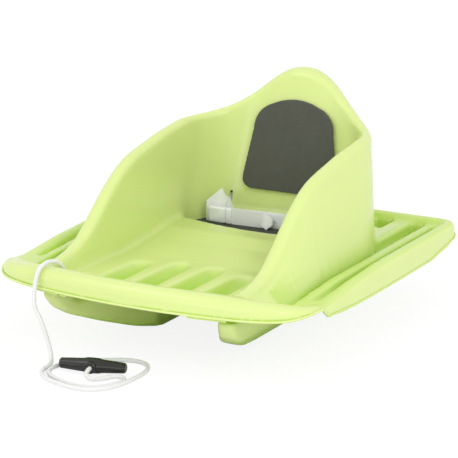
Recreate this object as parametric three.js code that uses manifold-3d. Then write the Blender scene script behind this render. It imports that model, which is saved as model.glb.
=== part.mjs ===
// Baby pull sled in millimetres: +X to the rider's left, +Y to the rear, +Z up, resting on its runners.
import * as THREE from "three";
import Module from "manifold-3d";

const wasm = await Module();
wasm.setup();

// Driving lengths of the whole sled
const sledWidth = 500;
const sledLength = 562;
const seatReach = 550;
const sledHeight = 325;
const wallThickness = 3;
const fitGap = 0.3;

// Lip, deck and cockpit levels above the snow
const lipBottom = 89;
const skirtBottom = 72;
const deckTop = 103;
const channelFloor = 85;
const cockpitFloor = 92;
const crestTop = 105;
const seatFloor = 88;
const frontLipWidth = 38;
const sideLipWidth = 25;
const frontBow = 36;
const frontCorner = 92;
const rearCorner = 29;
const skirtStart = 118;
const openDepth = 30;

// Seat shell in plan: outer foot, the rim's outer edge low and high, inner foot and the rim's inner edge high
const sideDeck = 56;
const footFlat = 29;
const footHalf = sledWidth / 2 - sideDeck;
const outerFoot = { half: footHalf, rear: 506, corner: footHalf - footFlat, start: 66 };
const shoulderFoot = { half: 162, rear: 506, corner: 100 };
const outerRim = { half: 158, rear: 549, corner: 150 };
const innerFoot = { half: 138, rear: 468, corner: 60 };
const innerRim = { half: 139, rear: 512, corner: 92 };
const wallStart = 38;
const rimRound = 11;

// Runners under the floor
const runnerInner = 0.132 * sledWidth;
const floorPanHalf = 0.316 * sledWidth;
const panTop = channelFloor - wallThickness - fitGap;

// Channels in the deck and valleys in the cockpit floor
const channelWidth = 23;
const channelFront = 130;
const channelRear = 534;
const rearChannelPlace = 133;
const rearChannelFront = 468;
const edgeGroovePlace = sledWidth / 2 - sideLipWidth;
const channelSpacing = 35;
const channelPlace = edgeGroovePlace - channelSpacing;
const edgeGrooveRadius = 5;
const edgeGrooveDepth = 4;
const edgeGrooveFront = 152;
const valleyRadius = 15;
const valleyDepth = 10;
const valleyPitch = 54;
const valleyFront = 84;
const valleyRear = 226;

// Soft parts and fittings
const padThickness = 6;
const seatPadThickness = 5;
const backPadHeight = 131;
const backPadTopHalf = 67;
const backPadFootHalf = 79;
const backPadCorner = 18;
const backPadTopCorner = 30;
const backPadArch = 16;
const backPadFoot = 140;
const strapWidth = 25;
const strapThickness = 1.6;
const slotHeight = 31;
const slotWidth = 6;
const ropeDiameter = 6;

const green = { color: 0xc3e372, roughness: 0.32, metalness: 0 };
const darkFoam = { color: 0x4a4b46, roughness: 0.85, metalness: 0 };
const blackFoam = { color: 0x1d1e1e, roughness: 0.85, metalness: 0 };
const webbing = { color: 0xf0f1f3, roughness: 0.7, metalness: 0 };
const whitePlastic = { color: 0xf2f3f4, roughness: 0.35, metalness: 0 };
const blackPlastic = { color: 0x17181a, roughness: 0.3, metalness: 0 };

const group = new THREE.Group();

// Solids and cuts
function toSolid(geometry, place = [0, 0, 0], turn = [0, 0, 0]) {
  const turned = new THREE.Euler(turn[0], turn[1], turn[2]);
  const matrix = new THREE.Matrix4().makeRotationFromEuler(turned);
  matrix.setPosition(place[0], place[1], place[2]);
  const points = geometry.attributes.position;
  const found = new Map();
  const vertices = [];
  const renumbered = [];
  const spot = new THREE.Vector3();
  for (let i = 0; i < points.count; i++) {
    spot.fromBufferAttribute(points, i).applyMatrix4(matrix);
    const key = spot.toArray().map((value) => Math.round(value * 1e4)).join(" ");
    if (!found.has(key)) {
      found.set(key, vertices.length / 3);
      vertices.push(spot.x, spot.y, spot.z);
    }
    renumbered.push(found.get(key));
  }
  const order = geometry.index ? Array.from(geometry.index.array) : renumbered.map((_, i) => i);
  const triangles = [];
  for (let i = 0; i < order.length; i += 3) {
    const [a, b, c] = [order[i], order[i + 1], order[i + 2]].map((n) => renumbered[n]);
    if (a !== b && b !== c && c !== a) triangles.push(a, b, c);
  }
  const vertProperties = new Float32Array(vertices);
  const build = (list) => {
    const triVerts = new Uint32Array(list);
    return new wasm.Manifold(new wasm.Mesh({ numProp: 3, vertProperties, triVerts }));
  };
  const solid = build(triangles);
  return solid.volume() > 0 ? solid : build(triangles.reverse());
}

function addPart(name, solid, look) {
  const found = solid.getMesh();
  const geometry = new THREE.BufferGeometry();
  const points = new Float32Array((found.vertProperties.length / found.numProp) * 3);
  for (let i = 0; i < points.length / 3; i++) {
    for (let axis = 0; axis < 3; axis++) {
      points[i * 3 + axis] = found.vertProperties[i * found.numProp + axis];
    }
  }
  geometry.setAttribute("position", new THREE.BufferAttribute(points, 3));
  geometry.setIndex(Array.from(found.triVerts));
  const mesh = new THREE.Mesh(geometry, new THREE.MeshStandardMaterial(look));
  mesh.name = name;
  group.add(mesh);
}

// A solid through a row of matching outlines, closed on itself or with an end face at both ends
function loft(rows, closed) {
  const count = rows[0].length;
  const index = [];
  const rowsUsed = closed ? rows.length : rows.length - 1;
  for (let r = 0; r < rowsUsed; r++) {
    const next = ((r + 1) % rows.length) * count;
    for (let i = 0; i < count; i++) {
      const j = (i + 1) % count;
      index.push(r * count + i, r * count + j, next + j, r * count + i, next + j, next + i);
    }
  }
  if (!closed) {
    const last = (rows.length - 1) * count;
    for (let i = 1; i < count - 1; i++) {
      index.push(0, i + 1, i, last, last + i, last + i + 1);
    }
  }
  const geometry = new THREE.BufferGeometry();
  geometry.setAttribute("position", new THREE.Float32BufferAttribute(rows.flat(2), 3));
  geometry.setIndex(index);
  return geometry;
}

function upward(shape, bottom, top, segments = 8) {
  const geometry = new THREE.ExtrudeGeometry(shape, { depth: top - bottom, bevelEnabled: false, curveSegments: segments });
  return toSolid(geometry, [0, 0, bottom]);
}

function shapeOf(points) {
  return new THREE.Shape(points.map(([x, y]) => new THREE.Vector2(x, y)));
}

function along(list, at) {
  let k = 1;
  while (k < list.length - 1 && list[k][0] < at) k++;
  const [x0, z0] = list[k - 1];
  const [x1, z1] = list[k];
  const share = Math.min(Math.max((at - x0) / (x1 - x0), 0), 1);
  return z0 + (z1 - z0) * share;
}

// Plan outline of the sled, or a line that far inside it: bowed front, large front corners, small rear corners
const skirtStepLength = 12;
const sharpCorner = 4;
function insetOutline(depth) {
  const half = sledWidth / 2 - depth;
  const rear = sledLength - depth;
  const bowAt = (x) => depth + frontBow * (x / half) ** 2;
  const rightSide = [];
  const startX = half - frontCorner;
  const bowSteps = 7;
  for (let i = 0; i <= bowSteps; i++) {
    const x = (startX * i) / bowSteps;
    rightSide.push([x, bowAt(x)]);
  }
  const slope = (2 * frontBow * startX) / half ** 2;
  const meetY = bowAt(startX) + slope * frontCorner;
  const endY = skirtStart - skirtStepLength;
  const cornerSteps = 9;
  for (let i = 1; i <= cornerSteps; i++) {
    const t = i / cornerSteps;
    const x = (1 - t) ** 2 * startX + 2 * t * (1 - t) * half + t * t * half;
    const y = (1 - t) ** 2 * bowAt(startX) + 2 * t * (1 - t) * meetY + t * t * endY;
    rightSide.push([x, y]);
  }
  rightSide.push([half, skirtStart - skirtStepLength / 2], [half, skirtStart + skirtStepLength / 2]);
  const corner = Math.max(rearCorner - depth, sharpCorner);
  const sideStart = skirtStart + skirtStepLength / 2;
  const sideEnd = rear - corner;
  const sideSteps = 4;
  for (let i = 1; i <= sideSteps; i++) {
    rightSide.push([half, sideStart + ((sideEnd - sideStart) * i) / sideSteps]);
  }
  const rearSteps = 5;
  for (let i = 1; i <= rearSteps; i++) {
    const turn = (Math.PI / 2) * (i / rearSteps);
    rightSide.push([half - corner * (1 - Math.cos(turn)), sideEnd + corner * Math.sin(turn)]);
  }
  rightSide.push([half / 3, rear]);
  const mirrored = rightSide.slice(1).reverse().map(([x, y]) => [-x, y]);
  return [...rightSide, ...mirrored];
}

// Lip: a hollow roll round the whole edge with a bead along its lower edge, lower at the front corners
const beadHeight = 3;
const beadStep = 1.2;
const lipShares = [[0.05, 0.3], [0.03, 0.52], [0.08, 0.76], [0.2, 0.93], [0.38, 1], [0.6, 0.97], [0.82, 0.8], [1, 0.5]];
const skirtLine = [[490, skirtBottom], [512, 77], [533, 85], [552, 90]];
const lipTopLine = [[0, 120], [14, 118], [30, 113], [56, 107], [90, 101], [116, 98], [134, 97.5], [152, 100], [188, 104],
  [219, 108], [250, 110], [273, 111]];
function lipSolid(inset) {
  const rows = insetOutline(0).map(([, y], i) => {
    const widened = Math.min(Math.max((skirtStart - y) / (skirtStart - frontBow), 0), 1);
    const lipWidth = sideLipWidth + (frontLipWidth - sideLipWidth) * widened;
    const foot = y > skirtStart ? along(skirtLine, y) : lipBottom;
    const reach = along(lipTopLine, y) - lipBottom;
    const at = (depth, z) => [...insetOutline(depth)[i], z];
    const section = inset > 0
      ? [at(lipWidth, skirtBottom - openDepth), at(inset + beadStep, skirtBottom - openDepth)]
      : [at(lipWidth, foot), at(0, foot), at(0, foot + beadHeight), at(beadStep, foot + beadHeight + beadStep)];
    const lowest = inset > 0 ? skirtBottom : foot + beadHeight + 2 * beadStep;
    for (const [across, up] of lipShares) {
      const depth = Math.max(across * lipWidth + beadStep / 2 + inset * (1 - across), inset);
      section.push(at(depth, Math.max(lipBottom + up * reach - inset, lowest)));
    }
    return section;
  });
  return toSolid(loft(rows, true));
}

// Deck with long channels beside and behind the seat
function slotShape(centre, width, front, rear) {
  const shape = new THREE.Shape();
  const half = width / 2;
  shape.absarc(centre, rear - half, half, 0, Math.PI, false);
  shape.absarc(centre, front + half, half, Math.PI, 2 * Math.PI, false);
  shape.closePath();
  return shape;
}

const deckSlopeRear = 215;
const deckDrop = 8.5;
function deckSlope(side, inset) {
  const front = -frontBow;
  const line = [[deckSlopeRear, deckTop - inset], [deckSlopeRear, sledHeight], [front, sledHeight],
    [front, deckTop - inset - deckDrop * (deckSlopeRear / skirtStart)]];
  const start = innerFoot.half + 2 * wallThickness - inset;
  const rows = [side * start, side * sledWidth].map((x) => line.map(([y, z]) => [x, y, z]));
  return toSolid(loft(rows, false));
}

function deckSolid(inset) {
  const low = inset > 0 ? skirtBottom - openDepth : channelFloor - 2 * wallThickness;
  let deck = upward(shapeOf(insetOutline(sideLipWidth * 0.8)), low, deckTop - inset);
  for (const side of [-1, 1]) {
    deck = deck.subtract(deckSlope(side, inset));
    for (const [place, front] of [[channelPlace, channelFront], [rearChannelPlace, rearChannelFront]]) {
      const slot = slotShape(side * place, channelWidth + 2 * inset, front - inset, channelRear + inset);
      deck = deck.subtract(upward(slot, channelFloor - inset, sledHeight));
    }
    const radius = edgeGrooveRadius + inset;
    const length = channelRear - edgeGrooveFront;
    const groove = new THREE.CapsuleGeometry(radius, length, 3, 12);
    const height = deckTop + edgeGrooveRadius - edgeGrooveDepth;
    deck = deck.subtract(toSolid(groove, [side * edgeGroovePlace, (channelRear + edgeGrooveFront) / 2, height]));
  }
  return deck;
}

// Seat shell: one wall round the sides and back, folded over at the rim
function horseshoe(size, inset, outside) {
  const change = outside ? -inset : inset;
  const half = size.half + change;
  const rear = size.rear + change;
  const corner = size.corner + change;
  const points = [];
  const sideSteps = 15;
  const start = (size.start ?? wallStart) + inset;
  for (let i = 0; i < sideSteps; i++) {
    points.push([half, start + ((rear - corner - start) * i) / sideSteps]);
  }
  const cornerSteps = 12;
  for (let i = 0; i <= cornerSteps; i++) {
    const turn = (Math.PI / 2) * (i / cornerSteps);
    points.push([half - corner + corner * Math.cos(turn), rear - corner + corner * Math.sin(turn)]);
  }
  const backSteps = 6;
  for (let i = 1; i <= backSteps; i++) {
    points.push([(half - corner) * (1 - i / backSteps), rear]);
  }
  const mirrored = points.slice(0, -1).reverse().map(([x, y]) => [-x, y]);
  return [...points, ...mirrored];
}

// Height of the rim: along the sides by distance from the front, round the back by distance from the middle
const sideRimShares = [[0.06, 0.355], [0.17, 0.375], [0.234, 0.414], [0.279, 0.468], [0.334, 0.548], [0.389, 0.62],
  [0.444, 0.675], [0.489, 0.702], [0.569, 0.73], [0.649, 0.755], [0.74, 0.772]];
const backRimShares = [[0, 1], [0.03, 0.995], [0.06, 0.977], [0.092, 0.948], [0.118, 0.915], [0.15, 0.872],
  [0.185, 0.834], [0.22, 0.804], [0.26, 0.784], [0.31, 0.772]];
function rimHeight(x, y, cornerStart) {
  if (y < cornerStart) {
    return sledHeight * along(sideRimShares, y / seatReach);
  }
  return sledHeight * along(backRimShares, Math.abs(x) / sledWidth);
}

function wallSolid(inset) {
  const base = horseshoe(outerFoot, inset, true);
  const feetOut = horseshoe(shoulderFoot, inset, true);
  const rimOut = horseshoe(outerRim, inset, true);
  const feetIn = horseshoe(innerFoot, inset, false);
  const rimIn = horseshoe(innerRim, inset, false);
  const low = inset > 0 ? skirtBottom - openDepth : channelFloor - 2 * wallThickness;
  const cornerStart = outerRim.rear - outerRim.corner;
  const plain = horseshoe(outerRim, 0, true);
  const rows = feetOut.map((_, i) => {
    const top = rimHeight(plain[i][0], plain[i][1], cornerStart) - inset;
    const span = sledHeight - channelFloor;
    const shareAt = (z) => (z - channelFloor) / span;
    const mix = (foot, rim, z) => {
      const share = shareAt(z);
      return [foot[i][0] + (rim[i][0] - foot[i][0]) * share, foot[i][1] + (rim[i][1] - foot[i][1]) * share];
    };
    const shoulder = top - rimRound + inset / 2;
    const outside = mix(feetOut, rimOut, shoulder);
    const inside = mix(feetIn, rimIn, shoulder);
    const section = [[...mix(feetIn, rimIn, low), low], [...base[i], low], [...base[i], channelFloor]];
    const turns = 7;
    for (let k = 0; k <= turns; k++) {
      const turn = (Math.PI * k) / turns;
      const across = (1 - Math.cos(turn)) / 2;
      const x = outside[0] + (inside[0] - outside[0]) * across;
      const y = outside[1] + (inside[1] - outside[1]) * across;
      const crest = rimHeight(x, y, cornerStart) - inset;
      section.push([x, y, crest - (rimRound - inset / 2) * (1 - Math.sin(turn))]);
    }
    return section;
  });
  return toSolid(loft(rows, false));
}

// Cockpit: floor with four valleys, a crest under the knees and a hollow for the seat pad
function pocketShape(inset) {
  const half = (shoulderFoot.half + innerFoot.half) / 2;
  const rear = (shoulderFoot.rear + innerFoot.rear) / 2;
  const corner = (shoulderFoot.corner + innerFoot.corner) / 2;
  const points = [];
  const front = insetOutline(frontLipWidth * 0.9 - inset);
  const used = front.filter(([x, y]) => Math.abs(x) < half && y < sledLength / 2);
  used.sort((a, b) => a[0] - b[0]);
  points.push(...used);
  points.push([half, used[used.length - 1][1] + frontBow / 3]);
  const steps = 6;
  for (let i = 0; i <= steps; i++) {
    const turn = (Math.PI / 2) * (i / steps);
    points.push([half - corner * (1 - Math.cos(turn)), rear - corner * (1 - Math.sin(turn))]);
  }
  for (let i = steps; i >= 0; i--) {
    const turn = (Math.PI / 2) * (i / steps);
    points.push([-half + corner * (1 - Math.cos(turn)), rear - corner * (1 - Math.sin(turn))]);
  }
  points.push([-half, used[0][1] + frontBow / 3]);
  return shapeOf(points);
}

const hollowHalf = 127;
const hollowFront = 371;
const hollowSideFront = 396;
const hollowRear = 461;
const hollowCorner = 26;
function hollowShape(grow) {
  const half = hollowHalf + grow;
  const rear = hollowRear + grow;
  const shape = new THREE.Shape();
  shape.moveTo(-half, hollowSideFront - grow);
  shape.quadraticCurveTo(0, 2 * hollowFront - hollowSideFront - grow, half, hollowSideFront - grow);
  shape.lineTo(half, rear - hollowCorner);
  shape.quadraticCurveTo(half, rear, half - hollowCorner, rear);
  shape.lineTo(-half + hollowCorner, rear);
  shape.quadraticCurveTo(-half, rear, -half, rear - hollowCorner);
  shape.closePath();
  return shape;
}

const rampStart = 222;
const rampRear = 486;
function rampSolid(inset) {
  const low = inset > 0 ? skirtBottom - openDepth : channelFloor - 2 * wallThickness;
  const rise = crestTop - cockpitFloor;
  const rows = [-1, 1].map((side) => {
    const x = side * (innerFoot.half + wallThickness * 2);
    const line = [[rampStart, low], [rampRear, low], [rampRear, crestTop - inset], [hollowFront - frontBow, crestTop - inset],
      [(rampStart + hollowFront) / 2, cockpitFloor + rise / 2 - inset], [rampStart, cockpitFloor - inset]];
    return line.map(([y, z]) => [x, y, z]);
  });
  return toSolid(loft(rows, false));
}

function valleySolid(x, rear, grow) {
  const radius = valleyRadius + grow;
  const length = rear - valleyFront - 2 * valleyRadius;
  const geometry = new THREE.CapsuleGeometry(radius, length, 5, 16);
  const height = cockpitFloor - valleyDepth + valleyRadius;
  return toSolid(geometry, [x, (rear + valleyFront) / 2, height]);
}

function upperForm(inset) {
  let form = deckSolid(inset).add(lipSolid(inset));
  form = form.subtract(upward(pocketShape(inset), cockpitFloor - inset, sledHeight));
  form = form.add(wallSolid(inset)).add(rampSolid(inset));
  form = form.subtract(upward(hollowShape(inset), seatFloor - inset, seatFloor + seatPadThickness * 4));
  for (const place of [-1.5, -0.5, 0.5, 1.5]) {
    const rear = valleyRear - Math.abs(place) * valleyRadius;
    form = form.subtract(valleySolid(place * valleyPitch, rear, inset));
  }
  return form;
}

// Holes through the upper shell: belt slots in the foot of the back, rope hole behind the lip
const slotPlace = 97;
const slotMiddle = 122;
const slotRear = 474;
const ropeHole = { x: -0.262 * sledWidth, y: 60, radius: 3.6 };
function beltSlot(side) {
  const depth = slotWidth * 3;
  return toSolid(new THREE.BoxGeometry(slotWidth, depth, slotHeight), [side * slotPlace, slotRear, slotMiddle]);
}

function upperShell() {
  let shell = upperForm(0).subtract(upperForm(wallThickness));
  const bore = new THREE.CylinderGeometry(ropeHole.radius, ropeHole.radius, 6 * wallThickness, 20);
  shell = shell.subtract(toSolid(bore, [ropeHole.x, ropeHole.y, cockpitFloor], [Math.PI / 2, 0, 0]));
  for (const side of [-1, 1]) {
    shell = shell.subtract(beltSlot(side));
  }
  return shell;
}

// Lower hull: a tub with two runners, a tunnel between them and a flange under the deck
const bowShares = [[0.056, 0.95], [0.063, 0.82], [0.086, 0.62], [0.13, 0.42], [0.2, 0.22], [0.29, 0.07], [0.39, 0]];
const sternShares = [[0.9, 0], [0.925, 0.08], [0.94, 0.32], [0.945, 0.95]];
const flankShares = [[0.176, 0], [0.192, 0.05], [0.207, 0.175], [0.226, 0.2], [0.24, 0.285], [0.25, 0.405], [0.27, 0.44],
  [0.288, 0.55], [0.298, 0.72], [0.304, 0.93]];
const tunnelRoof = cockpitFloor - valleyDepth - 2 * wallThickness - fitGap;
const mouthShares = [[-0.02, 0.27], [0.07, 0.25], [0.142, 0.222], [0.215, 0.182], [0.32, 0.132]];
const flangeDepth = 50;
function keelProfile(inset) {
  const points = [];
  for (const [y, z] of bowShares) points.push([y * sledLength + inset * 0.9, z * panTop + inset]);
  for (const [y, z] of sternShares) points.push([y * sledLength - inset * 0.9, z * panTop + inset]);
  const top = inset > 0 ? deckTop : panTop;
  return [[points[0][0], top], ...points, [points[points.length - 1][0], top]];
}

function keelSection(inset) {
  const top = inset > 0 ? deckTop : panTop;
  const right = [[0, tunnelRoof + inset]];
  right.push([runnerInner - wallThickness + inset, tunnelRoof + inset]);
  right.push([runnerInner + inset, tunnelRoof - wallThickness]);
  right.push([runnerInner + wallThickness + inset, inset]);
  for (const [x, z] of flankShares) right.push([x * sledWidth - inset, z * panTop + inset]);
  right.push([floorPanHalf - 2 * wallThickness - inset, top]);
  const left = right.slice(1).reverse().map(([x, z]) => [-x, z]);
  return [...right, ...left];
}

function tunnelMouth(inset) {
  const right = mouthShares.map(([y, x]) => [x * sledWidth + inset, y * sledLength]);
  const left = right.map(([x, y]) => [-x, y]).reverse();
  return upward(shapeOf([...right, ...left]), -wallThickness, tunnelRoof + inset);
}

function lowerForm(inset) {
  const side = new THREE.ExtrudeGeometry(shapeOf(keelProfile(inset)), { depth: sledWidth, bevelEnabled: false });
  const front = new THREE.ExtrudeGeometry(shapeOf(keelSection(inset)), { depth: sledLength, bevelEnabled: false });
  const sideways = new THREE.Matrix4().set(0, 0, 1, -sledWidth / 2, 1, 0, 0, 0, 0, 1, 0, 0, 0, 0, 0, 1);
  const lengthways = new THREE.Matrix4().set(1, 0, 0, 0, 0, 0, -1, sledLength, 0, 1, 0, 0, 0, 0, 0, 1);
  side.applyMatrix4(sideways);
  front.applyMatrix4(lengthways);
  return toSolid(side).intersect(toSolid(front)).subtract(tunnelMouth(inset));
}

function lowerHull() {
  const flangeTop = channelFloor - wallThickness - fitGap;
  const plate = upward(shapeOf(insetOutline(flangeDepth)), flangeTop - wallThickness, flangeTop);
  const shell = lowerForm(0).add(plate).subtract(lowerForm(wallThickness));
  return shell;
}

// Pads: one in the seat hollow, one on the back
function seatPad() {
  return upward(hollowShape(-2 * wallThickness / 3), seatFloor + fitGap, seatFloor + fitGap + seatPadThickness);
}

function backRoom(inset) {
  const rows = [channelFloor, sledHeight].map((z) => {
    const share = (z - channelFloor) / (sledHeight - channelFloor);
    const between = (key) => innerFoot[key] + (innerRim[key] - innerFoot[key]) * share;
    const size = { half: between("half"), rear: between("rear"), corner: between("corner") };
    return horseshoe(size, -inset, false).map(([x, y]) => [x, y, z]);
  });
  return toSolid(loft(rows, false));
}

function backPad() {
  const shape = new THREE.Shape();
  const shoulder = backPadHeight - backPadTopCorner / 3;
  shape.moveTo(-backPadFootHalf + backPadCorner, 0);
  shape.lineTo(backPadFootHalf - backPadCorner, 0);
  shape.quadraticCurveTo(backPadFootHalf, 0, backPadFootHalf, backPadCorner);
  shape.lineTo(backPadTopHalf, shoulder - backPadTopCorner);
  shape.quadraticCurveTo(backPadTopHalf, shoulder, backPadTopHalf - backPadTopCorner, backPadHeight);
  shape.quadraticCurveTo(0, backPadHeight + backPadArch, -backPadTopHalf + backPadTopCorner, backPadHeight);
  shape.quadraticCurveTo(-backPadTopHalf, shoulder, -backPadTopHalf, shoulder - backPadTopCorner);
  shape.lineTo(-backPadFootHalf, backPadCorner);
  shape.quadraticCurveTo(-backPadFootHalf, 0, -backPadFootHalf + backPadCorner, 0);
  const geometry = new THREE.ExtrudeGeometry(shape, { depth: sledLength, bevelEnabled: false, curveSegments: 8 });
  const blank = toSolid(geometry, [0, sledLength + wallStart, backPadFoot], [Math.PI / 2, 0, 0]);
  return blank.intersect(backRoom(fitGap)).subtract(backRoom(fitGap + padThickness));
}

// Belt: webbing on edge from the slots to the buckle
function webbingAlong(route, width) {
  const rows = route.map(([x, y, z], i) => {
    const before = route[Math.max(i - 1, 0)];
    const after = route[Math.min(i + 1, route.length - 1)];
    const run = new THREE.Vector2(after[0] - before[0], after[1] - before[1]).normalize();
    const [nx, ny] = [(-run.y * strapThickness) / 2, (run.x * strapThickness) / 2];
    return [[x + nx, y + ny, z - width / 2], [x - nx, y - ny, z - width / 2],
      [x - nx, y - ny, z + width / 2], [x + nx, y + ny, z + width / 2]];
  });
  return toSolid(loft(rows, false));
}

const buckle = { x: -92, y: 423, socketLength: 28, clipLength: 10, height: 24, depth: 11, cavityHeight: 19,
  cavityDepth: 6, window: 14, armThickness: 2.4, armLength: 21, thumb: 10, corner: 3,
  wall: 3, tongueShare: 0.8 };
const strapMiddle = seatFloor + seatPadThickness + 3 * fitGap + strapWidth / 2;
const slotExit = 480.4;
const leftWebRoute = [[-slotPlace, slotExit, slotMiddle], [-slotPlace, 470, slotMiddle], [-100, 460, 119],
  [-109, 449, 113], [-114.5, 440, 109], [-115.5, 431, strapMiddle], [-113.5, 425, strapMiddle]];
function leftWeb() {
  const end = buckle.x - buckle.socketLength / 2 - fitGap;
  return webbingAlong([...leftWebRoute, [end, buckle.y, strapMiddle]], strapWidth);
}

const rightWebRoute = [[slotPlace, slotExit, slotMiddle], [slotPlace, 470, slotMiddle], [95, 458, 118],
  [87, 446, 112], [70, 438, 108], [40, 433, strapMiddle], [0, 430, strapMiddle], [-35, 427, strapMiddle],
  [-56, 424, strapMiddle]];
function rightWeb() {
  const end = buckle.x + buckle.socketLength / 2 + buckle.clipLength + 2 * fitGap;
  return webbingAlong([...rightWebRoute, [end, buckle.y, strapMiddle]], strapWidth);
}

const tailRoute = [[-93, 433, 115], [-100, 439, 125]];
const tailStart = { from: -80, to: -87, height: 109 };
function tailWeb() {
  const behind = buckle.y + buckle.depth / 2 + fitGap + strapThickness / 2;
  const start = [[tailStart.from, behind, strapMiddle], [tailStart.to, behind, tailStart.height]];
  return webbingAlong([...start, ...tailRoute], strapWidth);
}

// Side-release buckle on edge: socket with two windows, clip body and two sprung arms
function roundedBlock(length, height, depth, corner) {
  const shape = new THREE.Shape();
  const [halfLength, halfHeight] = [length / 2, height / 2];
  shape.moveTo(-halfLength + corner, -halfHeight);
  shape.lineTo(halfLength - corner, -halfHeight);
  shape.quadraticCurveTo(halfLength, -halfHeight, halfLength, -halfHeight + corner);
  shape.lineTo(halfLength, halfHeight - corner);
  shape.quadraticCurveTo(halfLength, halfHeight, halfLength - corner, halfHeight);
  shape.lineTo(-halfLength + corner, halfHeight);
  shape.quadraticCurveTo(-halfLength, halfHeight, -halfLength, halfHeight - corner);
  shape.lineTo(-halfLength, -halfHeight + corner);
  shape.quadraticCurveTo(-halfLength, -halfHeight, -halfLength + corner, -halfHeight);
  const bevel = corner / 3;
  return new THREE.ExtrudeGeometry(shape, { depth: depth - 2 * bevel, bevelThickness: bevel, bevelSize: bevel,
    bevelOffset: -bevel, bevelSegments: 2, curveSegments: 4 });
}

function standing(geometry, x, y, z, depth, corner) {
  return toSolid(geometry, [x, y + depth / 2 - corner / 3, z], [Math.PI / 2, 0, 0]);
}

function buckleSocket() {
  const { corner, wall } = buckle;
  const block = roundedBlock(buckle.socketLength, buckle.height, buckle.depth, corner);
  const socket = standing(block, buckle.x, buckle.y, strapMiddle, buckle.depth, corner);
  const cavity = new THREE.BoxGeometry(buckle.socketLength, buckle.cavityDepth, buckle.cavityHeight);
  const window = new THREE.BoxGeometry(buckle.window, buckle.cavityDepth, buckle.height * 2);
  return socket.subtract(toSolid(cavity, [buckle.x + wall, buckle.y, strapMiddle]))
    .subtract(toSolid(window, [buckle.x - wall / 2, buckle.y, strapMiddle]));
}

function buckleClip() {
  const corner = buckle.corner;
  const start = buckle.x + buckle.socketLength / 2 + fitGap;
  const block = roundedBlock(buckle.clipLength, buckle.height, buckle.depth, corner);
  const body = standing(block, start + buckle.clipLength / 2, buckle.y, strapMiddle, buckle.depth, corner);
  const tongueLength = buckle.socketLength * buckle.tongueShare;
  const tongue = new THREE.BoxGeometry(tongueLength, buckle.cavityDepth * 0.6, buckle.cavityHeight * 0.24);
  return body.add(toSolid(tongue, [start + corner - tongueLength / 2, buckle.y, strapMiddle]));
}

function buckleArm(side) {
  const root = buckle.x + buckle.socketLength / 2;
  const outer = buckle.cavityHeight / 2 - fitGap;
  const inner = outer - buckle.armThickness;
  const tip = root - buckle.armLength;
  const thumbEnd = tip + buckle.thumb;
  const bulge = buckle.height / 2 - fitGap;
  const line = [[root, inner], [root, outer], [thumbEnd + buckle.armThickness, outer], [thumbEnd - fitGap, bulge - fitGap],
    [tip + buckle.armThickness, bulge], [tip, outer], [tip, inner]];
  const shape = shapeOf(line.map(([x, z]) => [x, side * z]));
  const depth = buckle.cavityDepth - 3 * fitGap;
  const geometry = new THREE.ExtrudeGeometry(shape, { depth, bevelEnabled: false });
  return toSolid(geometry, [0, buckle.y + depth / 2, strapMiddle], [Math.PI / 2, 0, 0]);
}

const plate = { width: 20, thickness: 3, height: 27 };
function strapStop(side) {
  const geometry = new THREE.BoxGeometry(plate.width, plate.thickness, plate.height);
  return toSolid(geometry, [side * slotPlace, slotExit + fitGap + plate.thickness / 2, slotMiddle]);
}

// Pull handle lying on the snow: a turned bar, thicker in the middle, with a collar for the rope
const handle = { x: -29, y: -28, halfLength: 46.5, middle: 10.5, end: 7.2, collar: 8, reach: 14, bore: 3.5 };
handle.turn = Math.atan2(23, 90);
handle.knotPocket = 6.6;
handle.pocketFloor = 1;
function handleAxis() {
  return new THREE.Vector3(Math.sin(handle.turn), -Math.cos(handle.turn), 0);
}

function handlePlace(forward) {
  const axis = handleAxis();
  return [handle.x + axis.x * forward, handle.y + axis.y * forward, handle.middle];
}

function handleRod(radius, from, to, sides) {
  const geometry = new THREE.CylinderGeometry(radius, radius, to - from, sides);
  return toSolid(geometry, handlePlace((from + to) / 2), [0, 0, handle.turn]);
}

function towHandle() {
  const lengthShares = [[-1, 0], [-1, 0.5], [-0.96, 0.68], [-0.28, 0.88], [-0.17, 1], [0.17, 1], [0.28, 0.88],
    [0.96, 0.68], [1, 0.5], [1, 0]];
  const profile = lengthShares.map(([x, r]) => new THREE.Vector2(r * handle.middle, x * handle.halfLength));
  const bar = toSolid(new THREE.LatheGeometry(profile, 20), [handle.x, handle.y, handle.middle],
    [0, 0, handle.turn - Math.PI / 2]);
  const collar = handleRod(handle.collar, 0, handle.reach, 20);
  const bore = handleRod(handle.bore, -2 * handle.middle, 2 * handle.reach, 16);
  const pocket = handleRod(handle.knotPocket, -2 * handle.middle, -handle.pocketFloor, 18);
  return bar.add(collar).subtract(bore).subtract(pocket);
}

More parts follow.
